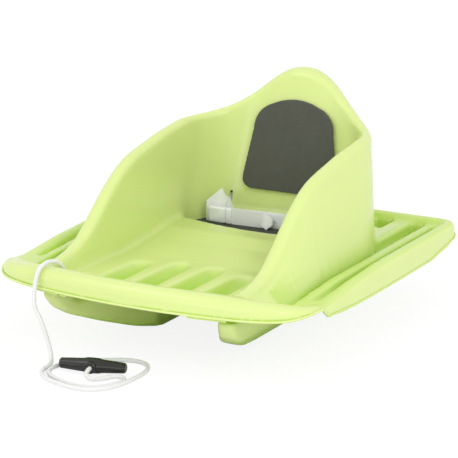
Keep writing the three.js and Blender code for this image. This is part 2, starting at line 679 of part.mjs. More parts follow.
// Rope: up through its hole, over the lip, down to the snow, round the handle and into it from the front
const ropeLow = ropeDiameter / 2 + 0.2;
const knotRadius = 7;
const endKnotRadius = 5.5;
const washer = { radius: 10, thickness: 2 };
const floorUnder = cockpitFloor - wallThickness - fitGap;
const ropeStart = floorUnder - washer.thickness;
const ropeRoute = [[ropeHole.x, ropeHole.y, ropeStart], [ropeHole.x, ropeHole.y, 103], [-132, 54, 114.5], [-135, 44, 121.6],
  [-138.5, 33, 123.6], [-139.5, 22, 122.4], [-141, 12.5, 117.4], [-142.5, 8, 106], [-142.8, 4.5, 95], [-142, 1, 84],
  [-138.5, -3, 69], [-126.5, -7, 53], [-115.5, -9.5, 30], [-107, -14, 14], [-99, -24, 3.9], [-92, -40, ropeLow], [-90, -56, ropeLow],
  [-80, -74, ropeLow], [-62, -86, ropeLow], [-40, -93, ropeLow], [-16, -97, ropeLow], [6, -93, ropeLow],
  [22, -80, ropeLow], [31, -60, ropeLow], [35, -36, ropeLow], [36, -10, ropeLow], [32, 12, ropeLow],
  [20, 28, ropeLow], [2, 33, ropeLow], [-18, 28, ropeLow], [-38, 16, ropeLow], [-56, 2, ropeLow],
  [-70, -12, ropeLow], [-80, -26, ropeLow], [-83, -42, ropeLow], [-80, -58, ropeLow], [-70, -70, ropeLow],
  [-54, -79, ropeLow], [-34, -86, ropeLow], [-14, -89, ropeLow], [4, -85, ropeLow], [17, -74, ropeLow],
  [25, -59, ropeLow], [28, -45, ropeLow], [24, -35, ropeLow], [15, -31, ropeLow], [7, -35, ropeLow],
  [2, -44, ropeLow], [-4, -53, 3.4], [-11, -60, 4.2], [-18, -59, 6], [-22.5, -54.5, 8.5]];
function towRope() {
  const ending = [handlePlace(handle.reach + ropeDiameter), handlePlace(handle.reach / 2), handlePlace(-0.2)];
  const points = [...ropeRoute, ...ending].map(([x, y, z]) => new THREE.Vector3(x, y, z));
  const path = new THREE.CatmullRomCurve3(points, false, "centripetal");
  const round = new THREE.Shape();
  round.absarc(0, 0, ropeDiameter / 2, 0, 2 * Math.PI, false);
  return toSolid(new THREE.ExtrudeGeometry(round, { steps: 90, curveSegments: 8, extrudePath: path, bevelEnabled: false }));
}

function floorKnot() {
  const height = ropeStart - fitGap - knotRadius;
  return toSolid(new THREE.SphereGeometry(knotRadius, 14, 9), [ropeHole.x, ropeHole.y, height]);
}

function floorWasher() {
  const shape = new THREE.Shape();
  shape.absarc(0, 0, washer.radius, 0, 2 * Math.PI, false);
  const hole = new THREE.Path();
  hole.absarc(0, 0, ropeHole.radius, 0, 2 * Math.PI, true);
  shape.holes.push(hole);
  const geometry = new THREE.ExtrudeGeometry(shape, { depth: washer.thickness, bevelEnabled: false, curveSegments: 18 });
  return toSolid(geometry, [ropeHole.x, ropeHole.y, floorUnder - washer.thickness]);
}

function endKnot() {
  const place = handlePlace(-0.2 - fitGap - endKnotRadius);
  return toSolid(new THREE.SphereGeometry(endKnotRadius, 12, 8), place);
}

addPart("upper_shell", upperShell(), green);
addPart("lower_hull", lowerHull(), green);
addPart("seat_pad", seatPad(), blackFoam);
addPart("back_pad", backPad(), darkFoam);
addPart("belt_web_left", leftWeb(), webbing);
addPart("belt_web_right", rightWeb(), webbing);
addPart("belt_web_tail", tailWeb(), webbing);
addPart("strap_stop_left", strapStop(-1), blackPlastic);
addPart("strap_stop_right", strapStop(1), blackPlastic);
addPart("buckle_socket", buckleSocket(), whitePlastic);
addPart("buckle_clip", buckleClip(), whitePlastic);
addPart("buckle_arm_upper", buckleArm(1), whitePlastic);
addPart("buckle_arm_lower", buckleArm(-1), whitePlastic);
addPart("rope_washer", floorWasher(), blackPlastic);
addPart("rope_knot", floorKnot(), webbing);
addPart("tow_rope", towRope(), webbing);
addPart("tow_handle", towHandle(), blackPlastic);
addPart("handle_knot", endKnot(), webbing);

group.position.y = -sledLength / 2;
export default group;
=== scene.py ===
import math

import bmesh
import bpy
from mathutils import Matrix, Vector, noise
from mathutils.bvhtree import BVHTree


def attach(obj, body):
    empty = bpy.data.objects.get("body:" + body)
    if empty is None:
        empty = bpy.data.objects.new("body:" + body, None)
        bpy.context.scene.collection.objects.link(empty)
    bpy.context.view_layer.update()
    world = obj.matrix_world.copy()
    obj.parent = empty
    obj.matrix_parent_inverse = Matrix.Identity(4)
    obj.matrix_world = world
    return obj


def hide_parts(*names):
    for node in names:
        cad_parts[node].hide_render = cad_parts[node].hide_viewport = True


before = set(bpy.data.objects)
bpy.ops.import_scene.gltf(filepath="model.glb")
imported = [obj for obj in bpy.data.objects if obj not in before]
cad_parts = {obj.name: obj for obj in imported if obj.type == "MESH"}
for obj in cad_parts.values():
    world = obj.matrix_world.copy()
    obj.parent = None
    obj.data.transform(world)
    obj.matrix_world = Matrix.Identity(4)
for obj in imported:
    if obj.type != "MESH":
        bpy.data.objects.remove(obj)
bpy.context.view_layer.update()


# Camera
# Stands in front of the sled and to the right of it, as the photo shows it, a little above the
# lip, with a long lens.
def placed(name, data):
    """An object of that name with this mesh, camera or lamp, in the scene."""
    piece = bpy.data.objects.new(name, data)
    bpy.context.scene.collection.objects.link(piece)
    return piece


def aimed(name, data, place, aim):
    """A camera or lamp that stands there and looks at its aim."""
    made = placed(name, data)
    made.location = place
    made.rotation_euler = (Vector(aim) - Vector(place)).to_track_quat("-Z", "Y").to_euler()
    return made


camera_data = bpy.data.cameras.new("camera")
camera_data.lens = 162.55
camera_data.clip_end = 30
camera_place = (1.411, -2.5033, 0.921)
camera_aim = (-0.0044, 0.019, 0.1242)
bpy.context.scene.camera = aimed("camera", camera_data, camera_place, camera_aim)


# Tow rope
# A limp braided polypropylene rope of 6 mm. It is knotted under the cockpit floor, comes up
# through its hole, goes over the front lip and lies in a loop on the snow, up to the handle.
rope_radius = 0.003
rope_route = [
    (-0.131, -0.221, 0.0867), (-0.131, -0.221, 0.103), (-0.132, -0.227, 0.1145),
    (-0.135, -0.237, 0.1216), (-0.1385, -0.248, 0.1236), (-0.1395, -0.259, 0.1224),
    (-0.141, -0.2685, 0.1174), (-0.1425, -0.273, 0.106), (-0.1428, -0.2765, 0.095),
    (-0.142, -0.28, 0.084), (-0.1385, -0.284, 0.069), (-0.1265, -0.288, 0.053),
    (-0.1155, -0.2905, 0.03), (-0.107, -0.295, 0.014),
    (-0.099, -0.305, 0.0039), (-0.092, -0.321, 0.0032), (-0.09, -0.337, 0.0032),
    (-0.08, -0.355, 0.0032), (-0.062, -0.367, 0.0032), (-0.04, -0.374, 0.0032),
    (-0.016, -0.378, 0.0032), (0.006, -0.374, 0.0032), (0.022, -0.361, 0.0032),
    (0.031, -0.341, 0.0032), (0.035, -0.317, 0.0032), (0.036, -0.291, 0.0032),
    (0.032, -0.269, 0.0032), (0.02, -0.253, 0.0032), (0.002, -0.248, 0.0032),
    (-0.018, -0.253, 0.0032), (-0.038, -0.265, 0.0032), (-0.056, -0.279, 0.0032),
    (-0.07, -0.293, 0.0032), (-0.08, -0.307, 0.0032), (-0.083, -0.323, 0.0032),
    (-0.08, -0.339, 0.0032), (-0.07, -0.351, 0.0032), (-0.054, -0.36, 0.0032),
    (-0.034, -0.367, 0.0032), (-0.014, -0.37, 0.0032), (0.004, -0.366, 0.0032),
    (0.017, -0.355, 0.0032), (0.025, -0.34, 0.0032), (0.028, -0.326, 0.0032),
    (0.024, -0.316, 0.0032), (0.015, -0.312, 0.0032), (0.007, -0.316, 0.0032),
    (0.002, -0.325, 0.0032), (-0.004, -0.334, 0.0034), (-0.011, -0.341, 0.0042),
    (-0.018, -0.34, 0.006), (-0.0225, -0.3355, 0.0085), (-0.02405, -0.3284, 0.0105),
    (-0.02727, -0.3158, 0.0105), (-0.02905, -0.3088, 0.0105),
]


def only(piece):
    for other in list(bpy.context.selected_objects):
        other.select_set(False)
    piece.select_set(True)
    bpy.context.view_layer.objects.active = piece


def built(name, mesh):
    """The object that an edited mesh becomes."""
    data = bpy.data.meshes.new(name)
    mesh.to_mesh(data)
    mesh.free()
    return placed(name, data)


def smooth_route(points, steps):
    """Points of a centripetal curve through the route, so many between each two."""
    spots = [Vector(point) for point in points]
    spots = [2 * spots[0] - spots[1], *spots, 2 * spots[-1] - spots[-2]]
    line = []
    for before, start, end, after in zip(spots, spots[1:], spots[2:], spots[3:]):
        t1 = (start - before).length ** 0.5
        t2 = t1 + (end - start).length ** 0.5
        t3 = t2 + (after - end).length ** 0.5
        for step in range(steps):
            t = t1 + (t2 - t1) * step / steps
            a1 = before.lerp(start, t / t1)
            a2 = start.lerp(end, (t - t1) / (t2 - t1))
            a3 = end.lerp(after, (t - t2) / (t3 - t2))
            b1 = a1.lerp(a2, t / t2)
            b2 = a2.lerp(a3, (t - t1) / (t3 - t1))
            line.append(b1.lerp(b2, (t - t1) / (t2 - t1)))
    line.append(spots[-2])
    return line


def skinned(rings, widths):
    """A closed mesh through rings of points, each given with its run along the piece. Its UV map is that run,
    and the width at both sides of each face round it."""
    mesh = bmesh.new()
    layer = mesh.loops.layers.uv.new("UVMap")
    rings = [(run, [mesh.verts.new(spot) for spot in ring]) for run, ring in rings]
    for (run0, ring0), (run1, ring1) in zip(rings, rings[1:]):
        for k, (low, high) in enumerate(widths):
            n = (k + 1) % len(widths)
            face = mesh.faces.new((ring0[k], ring0[n], ring1[n], ring1[k]))
            face.smooth = True
            for loop, spot in zip(face.loops, ((run0, low), (run0, high), (run1, high), (run1, low))):
                loop[layer].uv = spot
    mesh.faces.new(list(reversed(rings[0][1])))
    mesh.faces.new(rings[-1][1])
    return mesh


def rope_tube(name, line, radius, sides):
    """A tube along the line, with the way along it and the way round it, in metres, as its UV map."""
    run = 0
    rings = []
    normal = Vector((1, 0, 0))
    for i, spot in enumerate(line):
        ahead = (line[min(i + 1, len(line) - 1)] - line[max(i - 1, 0)]).normalized()
        normal = (normal - ahead * normal.dot(ahead)).normalized()
        side = ahead.cross(normal)
        run += (spot - line[i - 1]).length if i else 0
        turns = [2 * math.pi * k / sides for k in range(sides)]
        rings.append((run, [spot + radius * (math.cos(t) * normal + math.sin(t) * side) for t in turns]))
    around = 2 * math.pi * radius / sides
    return built(name, skinned(rings, [(k * around, (k + 1) * around) for k in range(sides)]))


def linear(hex_colour):
    """A colour written as on a screen, such as c8e47a, in the values that a shader takes."""
    values = [int(hex_colour[i:i + 2], 16) / 255 for i in (0, 2, 4)]
    return [v / 12.92 if v < 0.04045 else ((v + 0.055) / 1.055) ** 2.4 for v in values] + [1]


def surface(name, roughness, looks=()):
    material = bpy.data.materials.new(name)
    material.use_nodes = True
    shader = material.node_tree.nodes["Principled BSDF"]
    for key, value in (("Roughness", roughness), *dict(looks).items()):
        shader.inputs[key].default_value = value
    return material, material.node_tree, shader


def node(tree, kind, values=(), **settings):
    made = tree.nodes.new("ShaderNode" + kind)
    for key, value in settings.items():
        setattr(made, key, value)
    for key, value in dict(values).items():
        made.inputs[key].default_value = value
    return made


def mix_colour(tree, share, dark, light):
    """A colour between two, by a share."""
    mixed = node(tree, "Mix", data_type="RGBA")
    mixed.inputs[6].default_value = dark
    mixed.inputs[7].default_value = light
    tree.links.new(share, mixed.inputs[0])
    return mixed.outputs[2]


def two_tone(tree, shader, share, dark, light):
    tree.links.new(mix_colour(tree, share, linear(dark), linear(light)), shader.inputs["Base Color"])


def bump(tree, shader, height, depth, strength):
    made = node(tree, "Bump", {"Distance": depth, "Strength": strength})
    tree.links.new(height, made.inputs["Height"])
    tree.links.new(made.outputs["Normal"], shader.inputs["Normal"])


def maths(tree, operation, *values):
    made = node(tree, "Math", operation=operation)
    for i, value in enumerate(values):
        if isinstance(value, (int, float)):
            made.inputs[i].default_value = value
        else:
            tree.links.new(value, made.inputs[i])
    return made.outputs[0]


def weave(name, roughness, sheen, dark, light, strands, depth, strength):
    """Two sets of strands that cross, by the UV map in metres. Each set is given by its strands in a metre
    along the piece and in a metre across it."""
    material, tree, shader = surface(name, roughness, {"Sheen Weight": sheen})
    split = node(tree, "SeparateXYZ")
    tree.links.new(node(tree, "UVMap").outputs["UV"], split.inputs[0])
    waves = []
    for along, across in strands:
        run = maths(tree, "MULTIPLY", split.outputs["X"], 2 * math.pi * along)
        width = maths(tree, "MULTIPLY", split.outputs["Y"], 2 * math.pi * across)
        waves.append(maths(tree, "SINE", maths(tree, "ADD", run, width)))
    woven = maths(tree, "MULTIPLY_ADD", maths(tree, "MULTIPLY", *waves), 0.5, 0.5)
    two_tone(tree, shader, woven, dark, light)
    bump(tree, shader, woven, depth, strength)
    return material


def braid(name, dark, light, strand, radius):
    """Strands of that length, four of them each way, at a slant round a rope of that radius."""
    around = 4 / (2 * math.pi * radius)
    return weave(name, 0.75, 0.2, dark, light, ((1 / strand, around), (1 / strand, -around)), 0.0005, 0.8)


def dress(piece, material, place, body="sled"):
    """Gives a piece its material and the body it rides on, and hides the CAD node it stands for."""
    piece.data.materials.append(material)
    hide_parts(place)
    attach(piece, body)


rope_line = smooth_route(rope_route, 6)
rope = rope_tube("rope", rope_line, rope_radius, sides=16)
rope_braid = braid("braided_rope", "d8d9da", "f6f6f4", strand=0.0042, radius=rope_radius)
dress(rope, rope_braid, "tow_rope")


# Lower hull
# The underside is blow moulded from lime polyethylene: two rounded runners with a tunnel
# between them, which opens wider to the front. It is welded to the upper shell under its deck.
def solid_from(name, points, faces):
    data = bpy.data.meshes.new(name)
    data.from_pydata(points, [], faces)
    piece = placed(name, data)
    only(piece)
    bpy.ops.object.mode_set(mode="EDIT")
    bpy.ops.mesh.select_all(action="SELECT")
    bpy.ops.mesh.remove_doubles(threshold=0.00001)
    bpy.ops.mesh.normals_make_consistent()
    bpy.ops.object.mode_set(mode="OBJECT")
    return piece


def prism(name, outline, low, high, axis="Z"):
    """A solid with this outline, drawn across the axis, from low to high along it."""
    def spot(a, b, c):
        return {"X": (c, a, b), "Y": (a, c, b), "Z": (a, b, c)}[axis]
    count = len(outline)
    points = [spot(a, b, low) for a, b in outline] + [spot(a, b, high) for a, b in outline]
    faces = [list(range(count)), list(range(count, 2 * count))]
    faces += [[i, (i + 1) % count, count + (i + 1) % count, count + i] for i in range(count)]
    return solid_from(name, points, faces)


def modify(piece, kind, **settings):
    """Gives the piece a modifier with these settings and applies it."""
    only(piece)
    change = piece.modifiers.new("change", kind)
    for key, value in settings.items():
        setattr(change, key, value)
    bpy.ops.object.modifier_apply(modifier=change.name)


def boolean(piece, other, operation="DIFFERENCE"):
    """Cuts a piece by another, joins them or keeps what they share, and uses the other up."""
    modify(piece, "BOOLEAN", operation=operation, solver="EXACT", object=other)
    bpy.data.objects.remove(other)


def melt(piece, voxel, rounds, share=1.0):
    """Rounds every edge as moulding does: an even skin of small faces, smoothed and thinned out."""
    modify(piece, "REMESH", mode="VOXEL", voxel_size=voxel)
    modify(piece, "SMOOTH", factor=0.5, iterations=rounds)
    if share < 1:
        modify(piece, "DECIMATE", ratio=share)
    bpy.ops.object.shade_smooth()


sled_half = 0.25
sled_front = -0.281
sled_rear = 0.281
sled_length = sled_rear - sled_front
sled_height = 0.325
hull_top = 0.0817
runner_inner = 0.048
tunnel_roof = 0.07
over_hull = 0.1


def texture(tree, kind, **values):
    """A texture that lies on the piece's own coordinates."""
    made = node(tree, "Tex" + kind, values)
    tree.links.new(node(tree, "TexCoord").outputs["Object"], made.inputs["Vector"])
    return made


def moulded_green(name, open_colour, cloudy, painted_shade_colour):
    """Glossy lime polyethylene: slightly cloudy, with a very fine moulded orange peel. It lets a little light
    through. Where its attribute depth says it lies deep, its colour is painted a darker, deeper green:
    painted shade."""
    glow = {"Subsurface Weight": 0.1, "Subsurface Radius": (0.6, 1, 0.2), "Subsurface Scale": 0.004}
    material, tree, shader = surface(name, 0.22, glow)
    cloud = texture(tree, "Noise", Scale=9, Detail=3)
    plain = mix_colour(tree, cloud.outputs["Fac"], linear(cloudy), linear(open_colour))
    # Painted shade: the attribute depth mixes the colour towards the darker, deeper green.
    depth = node(tree, "Attribute", attribute_name="depth")
    painted_shade_green = mix_colour(tree, depth.outputs["Fac"], linear(open_colour), linear(painted_shade_colour))
    tree.links.new(plain, painted_shade_green.node.inputs[6])
    tree.links.new(painted_shade_green, shader.inputs["Base Color"])
    peel = texture(tree, "Noise", Scale=900, Detail=2)
    bump(tree, shader, peel.outputs["Fac"], 0.00004, 0.5)
    return material


# The last colour is the darker, deeper green of the painted shade.
green = moulded_green("lime_polyethylene", "d8e796", "d4e38e", "a9d32c")


def mirrored(right, first=1):
    """A right half and its mirror image, which leaves out the points before first."""
    return right + [(-x, y) for x, y in reversed(right[first:])]


bow = [(0.056, 0.95), (0.063, 0.82), (0.086, 0.64), (0.13, 0.46), (0.2, 0.26), (0.27, 0.09), (0.34, 0)]
stern = [(0.9, 0), (0.925, 0.08), (0.94, 0.32), (0.945, 0.95)]
flank = [(0.182, 0), (0.2, 0.05), (0.213, 0.12), (0.222, 0.18), (0.236, 0.21), (0.248, 0.28), (0.257, 0.39),
         (0.275, 0.44), (0.29, 0.55), (0.298, 0.72), (0.304, 0.93), (0.304, 1)]
keel = [(sled_front + y * sled_length, z * hull_top) for y, z in [(0.056, 1), *bow, *stern, (0.945, 1)]]
hull_right = [(0, tunnel_roof), (runner_inner - 0.003, tunnel_roof), (runner_inner, tunnel_roof - 0.003),
              (runner_inner + 0.003, 0)]
hull_right += [(x * 2 * sled_half, z * hull_top) for x, z in flank]
hull = prism("lower_hull_skin", keel, -sled_half, sled_half, "X")
boolean(hull, prism("section", mirrored(hull_right), sled_front, sled_rear, "Y"), "INTERSECT")
mouth = [(-0.02, 0.29), (0.07, 0.25), (0.142, 0.207), (0.215, 0.162), (0.27, 0.128), (0.31, 0.1)]
mouth_right = [(x * 2 * sled_half, sled_front + y * sled_length) for y, x in mouth]
boolean(hull, prism("mouth", mirrored(mouth_right, 0), -0.01, over_hull))
flange_half = 0.2
flange_thickness = 0.005
flange = [(-flange_half, sled_front + 0.125), (-0.13, sled_front + 0.062), (0, sled_front + 0.05),
          (0.13, sled_front + 0.062), (flange_half, sled_front + 0.125), (flange_half, sled_rear - 0.05),
          (-flange_half, sled_rear - 0.05)]
boolean(hull, prism("flange", flange, hull_top - flange_thickness, hull_top), "UNION")
room_half, room_front, room_rear = 0.118, sled_front + 0.06, sled_front + 0.25
valley_room = [(-room_half, room_front), (room_half, room_front), (room_half, room_rear),
               (-room_half, room_rear)]
room_floor = 0.064
boolean(hull, prism("valley_room", valley_room, room_floor, over_hull))
melt(hull, voxel=0.0032, rounds=24)
dress(hull, green, "lower_hull")


# Upper shell
# One large moulding: a rolled lip with a bead, a deck with long channels, a cockpit with
# valleys in its floor, and the high folded wall round the seat. Every edge of it is soft.
lip_bottom = 0.089
front_foot = 0.089
skirt_bottom = 0.073
deck_top = 0.103
channel_floor = 0.085
cockpit_floor = 0.092
crest_top = 0.105
seat_floor = 0.088
side_lip = 0.025
front_lip = 0.038
front_bow = 0.036
front_corner = 0.092
rear_corner = 0.028
skirt_start = 0.118
over_deck = 0.2
past_sled = 0.4


def share_of(value):
    """The value, kept between 0 and 1."""
    return min(max(value, 0), 1)


def edge_line(depth, corner_steps=14):
    """The plan outline of the sled, or a line that far inside it, from the middle of the front all round."""
    half = sled_half - depth
    start = half - front_corner

    def bow_at(x):
        return depth + front_bow * (x / half) ** 2
    right = [(start * i / 10, bow_at(start * i / 10)) for i in range(11)]
    meet = bow_at(start) + 2 * front_bow * start / half ** 2 * front_corner
    end = skirt_start - 0.012
    for i in range(1, corner_steps + 1):
        t = i / corner_steps
        x = (1 - t) ** 2 * start + 2 * t * (1 - t) * half + t * t * half
        y = (1 - t) ** 2 * bow_at(start) + 2 * t * (1 - t) * meet + t * t * end
        right.append((x, y))
    right += [(half, skirt_start - 0.006), (half, skirt_start + 0.006)]
    corner = max(rear_corner - depth, 0.004)
    last = sled_length - depth - corner
    right += [(half, skirt_start + 0.006 + (last - skirt_start - 0.006) * i / 5) for i in range(1, 6)]
    for i in range(1, 9):
        turn = math.pi / 2 * i / 8
        right.append((half - corner * (1 - math.cos(turn)), last + corner * math.sin(turn)))
    right.append((half / 3, sled_length - depth))
    return mirrored(right)


def ring_solid(name, sections, closed):
    """A solid through a row of matching sections, joined end to end or with a face at both ends."""
    count = len(sections[0])
    points = [point for section in sections for point in section]
    rows = len(sections) if closed else len(sections) - 1
    faces = []
    for row in range(rows):
        ahead = (row + 1) % len(sections)
        for i in range(count):
            j = (i + 1) % count
            faces.append([row * count + i, row * count + j, ahead * count + j, ahead * count + i])
    if not closed:
        faces += [list(range(count)), list(range(len(points) - count, len(points)))]
    return solid_from(name, points, faces)


lip_profile = [(0.05, 0.3), (0.03, 0.52), (0.08, 0.76), (0.2, 0.93), (0.38, 1), (0.6, 0.97), (0.82, 0.8),
               (1, 0.5)]
core_bottom = 0.05
lip_top = [(0, 0.12), (0.014, 0.118), (0.03, 0.113), (0.056, 0.107), (0.09, 0.101), (0.116, 0.098),
           (0.134, 0.0975), (0.152, 0.1), (0.188, 0.104), (0.219, 0.108), (0.25, 0.11), (0.273, 0.111)]
foot_line = [(0.045, 0.089), (0.075, 0.0925), (0.104, 0.0935), (0.118, 0.081), (0.14, 0.078), (0.165, 0.0755),
             (0.24, 0.073), (0.46, 0.073), (0.481, 0.076), (0.511, 0.0795), (0.533, 0.085), (0.552, 0.09)]


def height_by(shares, at):
    """The height between the listed places, eased by a smooth curve through them."""
    if at <= shares[0][0]:
        return shares[0][1]
    if at >= shares[-1][0]:
        return shares[-1][1]
    k = max(i for i in range(len(shares) - 1) if shares[i][0] <= at)
    (x0, z0), (x1, z1) = shares[k], shares[k + 1]

    def slope(n):
        a = shares[max(n - 1, 0)]
        b = shares[min(n + 1, len(shares) - 1)]
        return (b[1] - a[1]) / (b[0] - a[0])
    t = (at - x0) / (x1 - x0)
    width = x1 - x0
    start = (2 * t ** 3 - 3 * t ** 2 + 1) * z0 + (t ** 3 - 2 * t ** 2 + t) * width * slope(k)
    end = (3 * t ** 2 - 2 * t ** 3) * z1 + (t ** 3 - t ** 2) * width * slope(k + 1)
    return start + end


def lip_sections():
    outer = edge_line(0)
    sections = []
    for i, (_, y) in enumerate(outer):
        share = share_of((skirt_start - y) / (skirt_start - front_bow))
        width = side_lip + (front_lip - side_lip) * share
        top = height_by(lip_top, y)

        def at(depth, z):
            x, y = edge_line(depth)[i]
            return (x, y + sled_front, z)
        section = [at(width, core_bottom), at(0.001, core_bottom)]
        for across, up in lip_profile:
            section.append(at(across * width + 0.001, lip_bottom + up * (top - lip_bottom)))
        sections.append(section)
    return sections


shell = ring_solid("upper_shell_skin", lip_sections(), True)
deck_outline = [(x, y + sled_front) for x, y in edge_line(side_lip * 0.8)]
deck = prism("deck", deck_outline, core_bottom, deck_top)
channel_width = 0.023


def long_slot(place, width, front, rear, low):
    """A cutter for a channel with round ends, down to low."""
    half = width / 2
    outline = []
    for centre, start in ((rear - half, 0), (front + half, math.pi)):
        for i in range(9):
            turn = start + math.pi * i / 8
            outline.append((place + half * math.cos(turn), sled_front + centre + half * math.sin(turn)))
    return prism("slot", outline, low, over_deck)


channel_rear = 0.552
slope_start = 0.144
slope_front = sled_front - 0.036
slope_rear = sled_front + 0.215
slope_foot = 0.0875
slope = [(slope_rear, deck_top), (slope_rear, past_sled), (slope_front, past_sled), (slope_front, slope_foot)]
channel_places = ((0.19, channel_width, 0.086), (0.134, 0.03, 0.44))
groove_place = 0.222
groove_width = 0.0105
groove_depth = 0.012
groove_ends = (0.13, 0.53)
for side in (-1, 1):
    low, high = sorted((side * slope_start, side * past_sled))
    boolean(deck, prism("slope", slope, low, high, "X"))
    for place, width, front in channel_places:
        boolean(deck, long_slot(side * place, width, front, channel_rear, channel_floor))
    boolean(deck, long_slot(side * groove_place, groove_width, *groove_ends, deck_top - groove_depth))

outer_foot = (0.194, 0.506, 0.165, 0.066)
shoulder_foot = (0.162, 0.506, 0.1, 0.038)
outer_rim = (0.158, 0.549, 0.15, 0.038)
inner_foot = (0.138, 0.468, 0.06, 0.038)
inner_rim = (0.139, 0.512, 0.092, 0.038)


def round_corner(half, rear, corner, steps):
    """The arc from the side, that far from the middle, to the rear."""
    turns = [math.pi / 2 * i / steps for i in range(steps + 1)]
    return [(half - corner * (1 - math.cos(t)), rear - corner * (1 - math.sin(t))) for t in turns]


def horseshoe(half, rear, corner, start):
    """The plan line of the seat's wall, from the front on one side round the back to the other."""
    points = [(half, start + (rear - corner - start) * i / 24) for i in range(24)]
    points += round_corner(half, rear, corner, 20)
    points += [((half - corner) * (1 - i / 8), rear) for i in range(1, 9)]
    return points + [(-x, y) for x, y in reversed(points[:-1])]


side_rim = [(0.06, 0.355), (0.17, 0.375), (0.234, 0.414), (0.279, 0.468), (0.334, 0.548), (0.389, 0.62),
            (0.444, 0.675), (0.489, 0.702), (0.569, 0.73), (0.649, 0.755), (0.74, 0.772)]
back_rim = [(0, 1), (0.03, 0.995), (0.06, 0.977), (0.092, 0.948), (0.118, 0.915), (0.15, 0.872),
            (0.185, 0.834), (0.22, 0.804), (0.26, 0.784), (0.31, 0.772)]


seat_reach = 0.55
rim_round = 0.011
corner_start = outer_rim[1] - outer_rim[2]


def rim_height(x, y):
    if y < corner_start:
        return sled_height * height_by(side_rim, y / seat_reach)
    return sled_height * height_by(back_rim, abs(x) / (2 * sled_half))


def wall_sections():
    lines = [horseshoe(*size) for size in (outer_foot, shoulder_foot, outer_rim, inner_foot, inner_rim)]
    sections = []
    for base, foot_out, rim_out, foot_in, rim_in in zip(*lines):
        shoulder = rim_height(*rim_out) - rim_round

        def between(foot, rim, z):
            share = (z - channel_floor) / (sled_height - channel_floor)
            return [foot[k] + (rim[k] - foot[k]) * share for k in (0, 1)]
        outside = between(foot_out, rim_out, shoulder)
        inside = between(foot_in, rim_in, shoulder)
        section = [(*between(foot_in, rim_in, core_bottom), core_bottom), (*base, core_bottom),
                   (*base, channel_floor)]
        for k in range(13):
            turn = math.pi * k / 12
            across = (1 - math.cos(turn)) / 2
            x, y = (a + (b - a) * across for a, b in zip(outside, inside))
            section.append((x, y, rim_height(x, y) - rim_round * (1 - math.sin(turn))))
        sections.append([(x, y + sled_front, z) for x, y, z in section])
    return sections


def pocket_outline():
    half, rear, corner = ((a + b) / 2 for a, b in zip(shoulder_foot[:3], inner_foot[:3]))
    front = [p for p in edge_line(front_lip * 0.9) if abs(p[0]) < half and p[1] < sled_length / 2]
    right = sorted(p for p in front if p[0] >= 0)
    right.append((half, right[-1][1] + front_bow / 3))
    right += round_corner(half, rear, corner, 8)
    return [(x, y + sled_front) for x, y in mirrored(right)]


boolean(shell, deck, "UNION")
boolean(shell, prism("pocket", pocket_outline(), cockpit_floor, past_sled))
boolean(shell, ring_solid("wall", wall_sections(), False), "UNION")
hollow_front = 0.371
hollow_side_front = 0.395
hollow_half = 0.138
hollow_rear = 0.461
hollow_corner = 0.056
ramp = [(0.222, core_bottom), (0.486, core_bottom), (0.486, crest_top), (hollow_front - front_bow, crest_top),
        ((0.222 + hollow_front) / 2, (cockpit_floor + crest_top) / 2), (0.222, cockpit_floor)]
ramp = [(y + sled_front, z) for y, z in ramp]
boolean(shell, prism("ramp", ramp, -inner_foot[0] - 0.006, inner_foot[0] + 0.006, "X"), "UNION")
hollow = []
for i in range(13):
    x = hollow_half * (2 * i / 12 - 1)
    y = hollow_front + (hollow_side_front - hollow_front) * (x / hollow_half) ** 2
    hollow.append((x, sled_front + y))
for centre, start in ((1, 0), (-1, math.pi / 2)):
    for i in range(6):
        turn = start + math.pi / 2 * i / 5
        x = centre * (hollow_half - hollow_corner) + hollow_corner * math.cos(turn)
        hollow.append((x, sled_front + hollow_rear - hollow_corner * (1 - math.sin(turn))))
boolean(shell, prism("hollow", hollow, seat_floor, seat_floor + 0.05))

valley_radius = 0.0195
valley_width = 0.88
valley_depth = 0.0195
valley_rise = 0.007
valley_pitch = 0.054
valley_front = 0.084
valley_rear = 0.226


def valley(place):
    """A cutter with round ends and a round bottom, which rises to the rear."""
    rear = valley_rear - abs(place) / valley_pitch * valley_radius
    height = cockpit_floor - valley_depth + valley_radius
    middle = sled_front + (rear + valley_front) / 2
    length = rear - valley_front
    bpy.ops.mesh.primitive_uv_sphere_add(segments=32, ring_count=24, radius=valley_radius,
                                         location=(place, middle, height))
    cutter = bpy.context.object
    bpy.ops.object.transform_apply()
    for vertex in cutter.data.vertices:
        stretch = length / 2 - valley_radius
        back = vertex.co.y > middle
        vertex.co.x = place + (vertex.co.x - place) * valley_width
        vertex.co.y += stretch if back else -stretch
        vertex.co.z += valley_rise if back else 0
    return cutter


for step in (-1.5, -0.5, 0.5, 1.5):
    boolean(shell, valley(step * valley_pitch))
melt(shell, voxel=0.0026, rounds=7)

# Where the wall stands on the cockpit floor it has a wide soft fillet, narrower round the seat, so that
# band is smoothed much longer. The ridges between the valleys are smoothed too, but less.
fillet_reach = 0.046
fillet_narrowing = 0.026
valleys_half = 0.12
valley_softness = 0.22
fillet = shell.vertex_groups.new(name="fillet")
inner_line = [(x, y + sled_front) for x, y in horseshoe(*inner_foot)]
for vertex in shell.data.vertices:
    x, y, z = vertex.co
    if 0.065 < z < 0.14 and sled_front + 0.05 < y and abs(x) < 0.16:
        near = min(math.hypot(x - a, y - b) for a, b in inner_line[::2])
        reach = fillet_reach - fillet_narrowing * share_of((y - sled_front - 0.26) / 0.12)
        weight = share_of((reach - near) / (reach * 0.65)) * share_of((0.134 - z) / 0.02)
        if z < 0.1 and abs(x) < valleys_half and sled_front + 0.075 < y < sled_front + 0.25:
            weight = max(weight, valley_softness)
        if weight > 0:
            fillet.add([vertex.index], weight, "REPLACE")
modify(shell, "SMOOTH", factor=0.5, iterations=60, vertex_group="fillet")

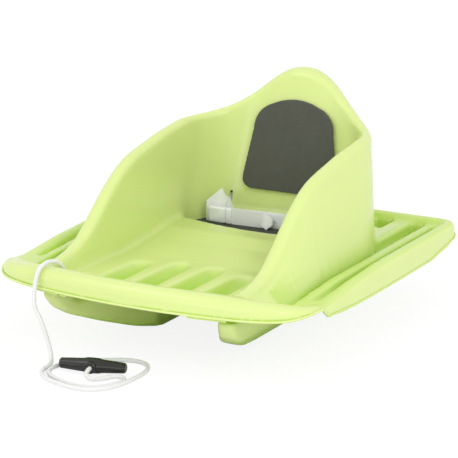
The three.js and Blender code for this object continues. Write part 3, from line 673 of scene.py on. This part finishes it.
# The moulding is open below: it ends in a trimmed edge that steps down where the side skirt starts.
trim = bmesh.new()
trim.from_mesh(shell.data)
bmesh.ops.bisect_plane(trim, geom=trim.verts[:] + trim.edges[:] + trim.faces[:],
                       plane_co=(0, 0, skirt_bottom - 0.004), plane_no=(0, 0, 1), clear_inner=True)
foot_start = 0.045
foot_step = 0.0075
foot_spots = [(sled_front - 0.01, front_foot), (sled_front + 0.012, front_foot),
              (sled_front + foot_start, lip_bottom)]
for k in range(1, 69):
    height = height_by(foot_line, foot_start + foot_step * k)
    foot_spots.append((sled_front + foot_start + foot_step * k, height))
foot_spots.append((sled_rear + 0.01, foot_line[-1][1]))


def skirt_foot(y):
    for (y0, z0), (y1, z1) in zip(foot_spots, foot_spots[1:]):
        if y <= y1:
            return z0 + (z1 - z0) * (y - y0) / (y1 - y0)
    return foot_spots[-1][1]


def on_outside(spot):
    """Whether a spot is on the outer side of the lip or skirt, and not inside them in a channel or valley."""
    outer = abs(spot.x) > 0.236 or spot.y > sled_front + 0.55 or spot.y < sled_front + 0.12
    return outer and not (abs(spot.x) < 0.215 and sled_front + 0.072 < spot.y < sled_front + 0.556)


for (y0, z0), (y1, z1) in zip(foot_spots, foot_spots[1:]):
    near = []
    for face in trim.faces:
        spot = face.calc_center_median()
        if y0 - 0.004 < spot.y < y1 + 0.004 and abs(spot.z - (z0 + z1) / 2) < 0.012 and on_outside(spot):
            near.append(face)
    parts = list({part for face in near for part in (*face.verts, *face.edges, face)})
    bmesh.ops.bisect_plane(trim, geom=parts, plane_co=(0, y0, z0), plane_no=(0, z0 - z1, y1 - y0))
spare = []
for face in trim.faces:
    spot = face.calc_center_median()
    if on_outside(spot) and spot.z < skirt_foot(spot.y):
        spare.append(face)
bmesh.ops.delete(trim, geom=spare, context="FACES")
trim.to_mesh(shell.data)
trim.free()
wall_thickness = 0.0028
modify(shell, "DECIMATE", ratio=0.4)
modify(shell, "SOLIDIFY", thickness=wall_thickness, offset=-1)

# The belt goes through two upright slots in the wall.
slot_place = 0.097
slot_front = 0.169
slot_rear = 0.2
slot_middle = 0.1185
slot_half = 0.0021
slot_half_height = 0.0135
for side in (-1, 1):
    left, right = side * slot_place - slot_half, side * slot_place + slot_half
    opening = [(left, slot_front), (right, slot_front), (right, slot_rear), (left, slot_rear)]
    low, high = slot_middle - slot_half_height, slot_middle + slot_half_height
    boolean(shell, prism("belt_slot", opening, low, high))


def joined(main, *others):
    bpy.ops.object.select_all(action="DESELECT")
    for piece in (main, *others):
        piece.select_set(True)
    bpy.context.view_layer.objects.active = main
    bpy.ops.object.join()
    return main


def shaded(piece, degrees):
    """Shaded smooth, apart from edges that turn by more than this."""
    only(piece)
    bpy.ops.object.shade_smooth_by_angle(angle=math.radians(degrees))
    return piece


# A rolled bead stiffens the lower edge all the way round.
bead_radius = 0.0018
bead_route = []
for x, y in edge_line(bead_radius, corner_steps=20):
    bead_route.append(Vector((x, y + sled_front, skirt_foot(y + sled_front) + 0.0017)))
bead_line = []
for i, spot in enumerate(bead_route):
    ahead = bead_route[(i + 1) % len(bead_route)]
    for k in range(3):
        bead_line.append(spot.lerp(ahead, k / 3))
bead_line.append(bead_line[0].copy())
shaded(joined(shell, rope_tube("bead", bead_line, bead_radius, sides=10)), 50)
shell.data.materials.clear()


# Painted shade: how closed off a point's outlook is, plus extra shares for the hull, the deck and the
# valleys, turns the green darker and deeper.
outlook_ways = 36
outlook_reach = 0.06
least_closed = 0.28
closed_span = 0.85
hull_painted_shade = 0.2
deck_painted_shade = 0.58


def extra_painted_shade(piece, spot, normal):
    """Extra painted shade on the hull, and on the upward faces of the deck's top beside and behind the seat.
    """
    if piece == hull:
        return hull_painted_shade
    beside_seat = abs(spot.x) > 0.168 or spot.y > sled_front + 0.51
    if beside_seat and spot.y > sled_front + 0.1 and spot.z < 0.125:
        return deck_painted_shade * share_of((normal.z - 0.3) / 0.4)
    return 0


def valley_painted_shade(piece, spot, normal):
    """How far down in a valley of the cockpit floor a point lies, 0 near its top and 1 near its bottom, as
    painted shade.
    """
    across = piece == shell and abs(spot.x) < valleys_half
    if across and sled_front + 0.07 < spot.y < sled_front + 0.24 and normal.z > 0:
        return (cockpit_floor - 0.002 - spot.z) / 0.012
    return 0


def mark_painted_shade(pieces):
    """Writes painted shade for each point of the pieces into the attribute depth: by how much of its outlook
    is closed off nearby, with extra shade on the hull, on the deck's top and in the valleys."""
    points = []
    faces = []
    for piece in pieces:
        first = len(points)
        points += [vertex.co.copy() for vertex in piece.data.vertices]
        faces += [[first + i for i in face.vertices] for face in piece.data.polygons]
    tree = BVHTree.FromPolygons(points, faces)
    ways = []
    for k in range(outlook_ways):
        up = 1 - (2 * k + 1) / outlook_ways
        turn = k * math.pi * (3 - math.sqrt(5))
        level = math.sqrt(1 - up * up)
        ways.append(Vector((level * math.cos(turn), level * math.sin(turn), up)))
    for piece in pieces:
        closed = []
        for vertex in piece.data.vertices:
            start = vertex.co + vertex.normal * 0.0006
            seen = hidden = 0
            for way in ways:
                facing = way.dot(vertex.normal)
                if facing > 0.1:
                    seen += facing
                    on_floor = way.z < 0 and start.z < -way.z * outlook_reach
                    if on_floor or tree.ray_cast(start, way, outlook_reach)[0] is not None:
                        hidden += facing
            share = (hidden / seen - least_closed) / closed_span + extra_painted_shade(piece, start, vertex.normal)
            closed.append(share_of(max(share, valley_painted_shade(piece, start, vertex.normal))))
        piece.data.attributes.new("depth", "FLOAT", "POINT").data.foreach_set("value", closed)


mark_painted_shade([hull, shell])
dress(shell, green, "upper_shell")


# Seat pad
# A 5 mm sheet of black closed-cell foam, cut to the hollow of the seat and glued in. The belt
# and its buckle lie on it.
def foam(name, colour, dark, cell):
    """Closed-cell foam: a matte skin with fine open pores and faint pressed mottling."""
    material, tree, shader = surface(name, 0.82, {"Specular IOR Level": 0.35, "Sheen Weight": 0.15})
    mottle = texture(tree, "Noise", Scale=55, Detail=4, Roughness=0.6)
    pores = texture(tree, "Voronoi", Scale=1 / cell)
    grain = maths(tree, "MULTIPLY_ADD", pores.outputs["Distance"], 0.7, mottle.outputs["Fac"])
    two_tone(tree, shader, maths(tree, "MULTIPLY", grain, 0.6), dark, colour)
    bump(tree, shader, pores.outputs["Distance"], 0.0002, 0.6)
    return material


def pillowed(piece, low, high, rise):
    """Lifts the open face of a foam sheet a little in its middle and dents it where the rider sits."""
    for vertex in piece.data.vertices:
        x, y, z = vertex.co
        if z > (low + high) / 2:
            across = max(1 - (x / 0.136) ** 6, 0)
            dent = noise.noise(Vector((x * 18, y * 18, 0.3))) * 0.0007
            vertex.co.z = z + rise * across + dent * across


pad_low = 0.0883
pad_high = 0.0933
pad_outline = [(x * 0.985, y + (0.002 if y < sled_front + 0.4 else -0.002)) for x, y in hollow]
seat_pad = prism("seat_pad_foam", pad_outline, pad_low, pad_high)
melt(seat_pad, voxel=0.0013, rounds=3, share=0.35)
pillowed(seat_pad, pad_low, pad_high, rise=0.0008)
dress(seat_pad, foam("black_foam", "2d2e2b", "1a1b19", cell=0.0012), "seat_pad")


# Back pad
# A 6 mm sheet of dark grey foam with round corners and an arched top. It is glued on and
# follows the curve of the backrest.
def back_room(name, inset):
    """The room in front of the backrest, that far off its face."""
    sections = []
    for z in (channel_floor, sled_height):
        share = (z - channel_floor) / (sled_height - channel_floor)
        half, rear, corner, start = (a + (b - a) * share for a, b in zip(inner_foot, inner_rim))
        line = horseshoe(half - inset, rear - inset, corner - inset, start)
        sections.append([(x, y + sled_front, z) for x, y in line])
    return ring_solid(name, sections, False)


def quarter(start, end, bend):
    """Points of a curve from start to end that leans towards bend, without its first point."""
    found = []
    for t in (i / 8 for i in range(1, 9)):
        a, b, c = (1 - t) ** 2, 2 * t * (1 - t), t * t
        found.append(tuple(a * start[k] + b * bend[k] + c * end[k] for k in (0, 1)))
    return found


pad_foot = 0.14
pad_foot_half = 0.079
pad_top_half = 0.067
pad_height = 0.131
pad_shoulder = pad_height - 0.01
pad_right = [(0, 0), (pad_foot_half - 0.018, 0)]
pad_right += quarter(pad_right[-1], (pad_foot_half, 0.018), (pad_foot_half, 0))
pad_right.append((pad_top_half, pad_shoulder - 0.03))
pad_right += quarter(pad_right[-1], (pad_top_half - 0.03, pad_height), (pad_top_half, pad_shoulder))
pad_right += quarter(pad_right[-1], (0, pad_height + 0.008), ((pad_top_half - 0.03) / 2, pad_height + 0.008))
pad_shape = [(x, z + pad_foot) for x, z in pad_right + [(-x, z) for x, z in reversed(pad_right[1:-1])]]
back_pad = prism("back_pad_foam", pad_shape, 0.05, past_sled, "Y")
pad_gap = 0.0003
pad_thickness = 0.006
boolean(back_pad, back_room("room", pad_gap), "INTERSECT")
boolean(back_pad, back_room("face", pad_gap + pad_thickness))
melt(back_pad, voxel=0.0013, rounds=4, share=0.35)
dress(back_pad, foam("grey_foam", "565751", "454640", cell=0.0013), "back_pad")


# Belt webbing
# White polypropylene webbing, 25 mm wide, woven flat. Both ends are sewn round stops behind
# the backrest, come out of its slots and lie on edge across the pad; a spare tail sticks up.
strap_width = 0.025
strap_half = 0.0008
strap_middle = 0.1064


warp_width = 0.0016
weft_width = 0.0013
plain_weave = ((0, 1 / warp_width), (1 / weft_width, 0))
webbing_white = weave("woven_polypropylene", 0.55, 0.25, "ececf2", "fdfdff", plain_weave, 0.0003, 0.7)


def ribbon(name, route, lean=0):
    """Flat webbing on edge along a route, its top leaning over by lean at first. Its selvedges are round,
    and its UV map is its length and width in metres."""
    line = smooth_route(route, 8)
    half = strap_width / 2
    ring = [(-1, -0.93), (-0.5, -1), (0.5, -1), (1, -0.93)]
    section = ring + [(1, -0.5), (1, 0), (1, 0.5)] + [(-a, -b) for a, b in ring]
    section += [(-1, 0.5), (-1, 0), (-1, -0.5)]
    rows = []
    run = 0
    for i, spot in enumerate(line):
        ahead = line[min(i + 1, len(line) - 1)] - line[max(i - 1, 0)]
        flat = Vector((ahead.x, ahead.y, 0)).normalized()
        level = Vector((-flat.y, flat.x, 0))
        turn = lean * math.sin(math.pi * min(i / (len(line) - 1) / 0.65, 1))
        up = Vector((0, 0, math.cos(turn))) - level * math.sin(turn)
        side = level * math.cos(turn) + Vector((0, 0, math.sin(turn)))
        run += (spot - line[i - 1]).length if i else 0
        rows.append((run, [spot + side * a * strap_half + up * b * half for a, b in section]))
    heights = [b * half for _, b in section]
    mesh = skinned(rows, list(zip(heights, heights[1:] + heights[:1])))
    bmesh.ops.recalc_face_normals(mesh, faces=mesh.faces)
    return shaded(built(name, mesh), 40)


def webbing_patch(name, outline, back, slant):
    """Webbing cut to an outline seen from the front, as far back as back says, its weave turned by slant."""
    mesh = bmesh.new()
    layer = mesh.loops.layers.uv.new("UVMap")
    mesh.faces.new([mesh.verts.new((x, 0, z)) for x, z in outline])
    for k in range(-42, 6):
        bmesh.ops.bisect_plane(mesh, geom=mesh.verts[:] + mesh.edges[:] + mesh.faces[:],
                               plane_co=(k * 0.003, 0, 0), plane_no=(1, 0, 0))
    for face in mesh.faces:
        face.smooth = True
        for loop in face.loops:
            x, _, z = loop.vert.co
            cosine, sine = math.cos(slant), math.sin(slant)
            loop[layer].uv = (x * cosine - z * sine, x * sine + z * cosine)
    for vertex in mesh.verts:
        vertex.co.y = back(vertex.co.x, vertex.co.z)
    piece = built(name, mesh)
    modify(piece, "SOLIDIFY", thickness=2 * strap_half, offset=0)
    return shaded(piece, 40)


left_route = [(-0.097, 0.1994, 0.116), (-0.097, 0.189, 0.116), (-0.1, 0.179, 0.1145), (-0.109, 0.168, 0.1115),
              (-0.1145, 0.159, 0.109), (-0.1155, 0.15, strap_middle), (-0.1135, 0.144, strap_middle),
              (-0.1063, 0.142, strap_middle)]
right_route = [(0.097, 0.1994, slot_middle), (0.097, 0.189, slot_middle), (0.095, 0.177, 0.117),
               (0.087, 0.165, 0.112), (0.07, 0.157, 0.108), (0.04, 0.152, strap_middle),
               (0, 0.149, strap_middle), (-0.035, 0.146, strap_middle), (-0.056, 0.143, strap_middle),
               (-0.0674, 0.142, strap_middle)]
left_belt = ribbon("belt_left", left_route, lean=0.85)
strap_low = strap_middle - 0.0118
strap_high = strap_middle + 0.0132
spare_outline = [(-0.0674, strap_low), (-0.0095, strap_low), (-0.001, 0.102), (0.0022, 0.1095),
                 (-0.0112, strap_high - 0.0006), (-0.0674, strap_high)]
spare = webbing_patch("belt_spare", spare_outline, lambda x, z: 0.1397 + (x + 0.067) * 0.055, 0)
fold_outline = [(-0.0116, 0.119), (0.0022, 0.1108), (0.0018, 0.1015), (-0.0056, 0.0947), (-0.0158, 0.0995)]
fold = webbing_patch("belt_fold", fold_outline,
                     lambda x, z: 0.1377 + (x + 0.067) * 0.055 - max(0.102 - z, 0) * 0.9, math.radians(45))
right_belt = joined(ribbon("belt_right", right_route), spare, fold)
tail_outline = [(-0.112, 0.104), (-0.086, 0.104), (-0.0848, 0.1175), (-0.0822, 0.1297), (-0.0936, 0.144),
                (-0.1182, 0.1227), (-0.1147, 0.1137)]
tail = webbing_patch("belt_tail", tail_outline,
                     lambda x, z: 0.1503 + 6 * max(z - 0.112, 0) ** 2, math.radians(-40))
for belt, place in ((left_belt, "belt_web_left"), (right_belt, "belt_web_right"), (tail, "belt_web_tail")):
    dress(belt, webbing_white, place)


# Strap stops
# Small black plates behind the backrest. The webbing is sewn round them, so that it cannot
# pull through its slots.
def gloss_plastic(name, colour, shade, roughness, grain):
    """Injection-moulded plastic: one colour with faint flow clouds, fine grain and uneven gloss."""
    material, tree, shader = surface(name, roughness)
    cloud = texture(tree, "Noise", Scale=60, Detail=3)
    two_tone(tree, shader, cloud.outputs["Fac"], shade, colour)
    uneven = maths(tree, "MULTIPLY_ADD", cloud.outputs["Fac"], 0.16, roughness - 0.08)
    tree.links.new(uneven, shader.inputs["Roughness"])
    fine = texture(tree, "Noise", Scale=2600, Detail=2)
    bump(tree, shader, fine.outputs["Fac"], grain, 0.5)
    return material


black_plastic = gloss_plastic("black_plastic", "222421", "161714", 0.3, grain=0.00003)
for place in ("strap_stop_left", "strap_stop_right"):
    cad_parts[place].material_slots[0].material = black_plastic


# Buckle socket
# The white half of a side-release buckle, moulded in acetal and lying on edge. It is hollow,
# has a window at each edge for the arms of the clip, and a bar that holds the left webbing.
white_plastic = gloss_plastic("white_plastic", "fbfbfe", "f4f4f9", 0.28, grain=0.00002)
buckle_x = -0.092
buckle_y = 0.142
socket_length = 0.028
buckle_height = 0.024
buckle_depth = 0.011


def block(name, low, high):
    """A box between two corners."""
    middle = [(a + b) / 2 for a, b in zip(low, high)]
    size = [b - a for a, b in zip(low, high)]
    bpy.ops.mesh.primitive_cube_add(size=1, location=middle)
    piece = bpy.context.object
    piece.name = name
    piece.scale = size
    bpy.ops.object.transform_apply()
    return piece


def softened(piece, width, segments=3):
    """Small rounded edges, as a mould leaves them."""
    modify(piece, "BEVEL", width=width, segments=segments, limit_method="ANGLE", angle_limit=math.radians(40))
    shaded(piece, 35)


left_end = buckle_x - socket_length / 2
right_end = buckle_x + socket_length / 2
front_face = buckle_y - buckle_depth / 2
back_face = buckle_y + buckle_depth / 2
bottom_edge = strap_middle - buckle_height / 2
top_edge = strap_middle + buckle_height / 2
buckle_round = 0.0022
inner_round = 0.0003
socket = block("buckle_socket_body", (left_end, front_face, bottom_edge), (right_end, back_face, top_edge))
softened(socket, buckle_round)
cavity = block("cavity", (left_end + 0.003, buckle_y - 0.003, strap_middle - 0.0095),
               (right_end + 0.01, buckle_y + 0.003, strap_middle + 0.0095))
boolean(socket, cavity)
window = block("window", (buckle_x - 0.0085, buckle_y - 0.003, bottom_edge - 0.01),
               (buckle_x + 0.0055, buckle_y + 0.003, top_edge + 0.01))
boolean(socket, window)
for k in range(2):
    groove = block("groove", (left_end + 0.003 + 0.0022 * k, front_face - 0.001, strap_middle - 0.007),
                   (left_end + 0.004 + 0.0022 * k, front_face + 0.0005, strap_middle + 0.007))
    boolean(socket, groove)
softened(socket, inner_round, 2)
dress(socket, white_plastic, "buckle_socket")


# Buckle clip
# The other white half: a body that holds the right webbing, and a guide tongue that runs
# into the socket between the two arms.
clip_start = right_end + 0.0003
clip_end = clip_start + 0.01
clip = block("buckle_clip_body", (clip_start, front_face, bottom_edge), (clip_end, back_face, top_edge))
softened(clip, buckle_round)
tongue = block("tongue", (clip_start + 0.003 - 0.0224, buckle_y - 0.0018, strap_middle - 0.00228),
               (clip_start + 0.003, buckle_y + 0.0018, strap_middle + 0.00228))
boolean(clip, tongue, "UNION")
softened(clip, inner_round, 2)
dress(clip, white_plastic, "buckle_clip")


# Buckle arms
# Two sprung prongs moulded with the clip. Each snaps into its window, and its thumb pad is
# pressed in to let the buckle go.
for side, name, body in ((1, "upper", "arm_upper"), (-1, "lower", "arm_lower")):
    outline = []
    for x, z in ((0, 0.0068), (0, 0.0092), (-0.0086, 0.0092), (-0.0113, 0.0114), (-0.0186, 0.0117),
                 (-0.021, 0.0092), (-0.021, 0.0068)):
        outline.append((right_end + x, strap_middle + side * z))
    arm = prism("arm_" + name + "_prong", outline, buckle_y - 0.00255, buckle_y + 0.00255, "Y")
    softened(arm, 0.0005)
    dress(arm, white_plastic, "buckle_arm_" + name, body)


# Pull handle
# A solid black bar, thicker in its middle, with chamfered ends and a collar where the rope
# runs in. The knot sits in a pocket on the far side.
handle_middle = Vector((-0.029, -0.309, 0.0105))
handle_turn = math.atan2(23, 90)
handle_half = 0.0465
handle_radius = 0.0105
handle_end = [(0.17, 1), (0.28, 0.88), (0.6, 0.79), (0.96, 0.68), (1, 0.5), (1, 0)]
profile = [(-x, r) for x, r in reversed(handle_end)] + [(0, 1.02)] + handle_end


def turned(name, line, steps, lean):
    """A piece turned on a lathe about X, from places along it and their radii, laid where the handle lies."""
    data = bpy.data.meshes.new(name)
    data.from_pydata([(x, 0, r) for x, r in line], [(i, i + 1) for i in range(len(line) - 1)], [])
    piece = placed(name, data)
    only(piece)
    bpy.ops.object.mode_set(mode="EDIT")
    bpy.ops.mesh.select_all(action="SELECT")
    bpy.ops.mesh.spin(steps=steps, angle=2 * math.pi, center=(0, 0, 0), axis=(1, 0, 0))
    bpy.ops.mesh.select_all(action="SELECT")
    bpy.ops.mesh.remove_doubles(threshold=0.00002)
    bpy.ops.mesh.normals_make_consistent()
    bpy.ops.object.mode_set(mode="OBJECT")
    piece.rotation_euler = (0, 0, lean)
    piece.location = handle_middle
    bpy.ops.object.transform_apply()
    return piece


handle = turned("handle_bar", [(x * handle_half, r * handle_radius) for x, r in profile], 48, handle_turn)
collar = [(0, 0), (0, 0.008), (0.0125, 0.008), (0.014, 0.0066), (0.014, 0)]
bore = [(-0.03, 0), (-0.03, 0.0035), (0.03, 0.0035), (0.03, 0)]
pocket = [(-0.03, 0), (-0.03, 0.0066), (-0.001, 0.0066), (-0.001, 0)]
for line, steps, operation in ((collar, 32, "UNION"), (bore, 24, "DIFFERENCE"), (pocket, 28, "DIFFERENCE")):
    boolean(handle, turned("handle_cut", line, steps, handle_turn - math.pi / 2), operation)
softened(handle, 0.0005)
handle_black = gloss_plastic("handle_black", "24261f", "181a15", 0.26, grain=0.00002)
dress(handle, handle_black, "tow_handle")


# Rope knots and washer
# The rope is held by a knot pulled tight at each end: one in the handle's pocket, and one
# under the cockpit floor, against a black washer.
def knot(name, centre, size, thickness):
    """An overhand knot pulled tight: a trefoil of rope."""
    line = []
    for i in range(97):
        t = 2 * math.pi * i / 96
        bulge = 2 + math.cos(3 * t)
        spot = Vector((bulge * math.cos(2 * t), bulge * math.sin(2 * t), 1.4 * math.sin(3 * t)))
        line.append(Vector(centre) + spot * size / 3)
    return rope_tube(name, line, thickness, 12)


into_pocket = Vector((-math.sin(handle_turn), math.cos(handle_turn), 0))
handle_knot = knot("handle_rope_knot", handle_middle + 0.006 * into_pocket, size=0.0034, thickness=0.0019)
floor_knot = knot("floor_rope_knot", (-0.131, -0.221, 0.0794), size=0.0045, thickness=0.0024)
knot_braid = braid("knot_braid", "d2d3d4", "f4f4f2", strand=0.0035, radius=0.0022)
for piece, place in ((handle_knot, "handle_knot"), (floor_knot, "rope_knot")):
    dress(piece, knot_braid, place)
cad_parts["rope_washer"].material_slots[0].material = black_plastic


# Studio
# A plain pale floor and soft light from a pale world, two tall window lights and two wide lamps.
bpy.ops.mesh.primitive_plane_add(size=20, location=(0, 0, -0.0005))
floor = bpy.context.object
floor.name = "floor"
floor_material, tree, shader = surface("studio_floor", 0.9, {"Specular IOR Level": 0})
watched = node(tree, "LightPath").outputs["Is Camera Ray"]
pale = mix_colour(tree, watched, (0.92, 0.92, 0.92, 1), (0.16, 0.16, 0.16, 1))
tree.links.new(pale, shader.inputs["Base Color"])
glow = node(tree, "Emission")
tree.links.new(maths(tree, "MULTIPLY", watched, 0.87), glow.inputs["Strength"])
both = node(tree, "AddShader")
tree.links.new(shader.outputs[0], both.inputs[0])
tree.links.new(glow.outputs[0], both.inputs[1])
tree.links.new(both.outputs[0], tree.nodes["Material Output"].inputs["Surface"])
floor.data.materials.append(floor_material)

world = bpy.data.worlds.new("studio")
bpy.context.scene.world = world
world.use_nodes = True
tree = world.node_tree
background = tree.nodes["Background"]
background.inputs["Color"].default_value = (1, 1, 1, 1)
watched = node(tree, "LightPath").outputs["Is Camera Ray"]
tree.links.new(maths(tree, "MULTIPLY_ADD", watched, 0.06, 0.94), background.inputs["Strength"])


def lamp(name, place, size, power):
    light = bpy.data.lights.new(name, "AREA")
    light.energy = power
    light.shape = "RECTANGLE"
    light.size, light.size_y = size
    aimed(name, light, place, (0, 0, 0.1))


lamp("window_light_rear", (2.5, -0.9, 1.9), size=(0.4, 1.8), power=8)
lamp("window_light_front", (2.2, -1.55, 1.5), size=(0.4, 1.8), power=12)
lamp("front_light", (0.1, -2.8, 0.3), size=(1.6, 0.6), power=6)
lamp("fill_light", (-1.2, -1.8, 2.1), size=(1.2, 1.2), power=9)

bpy.context.scene.view_settings.view_transform = "Standard"
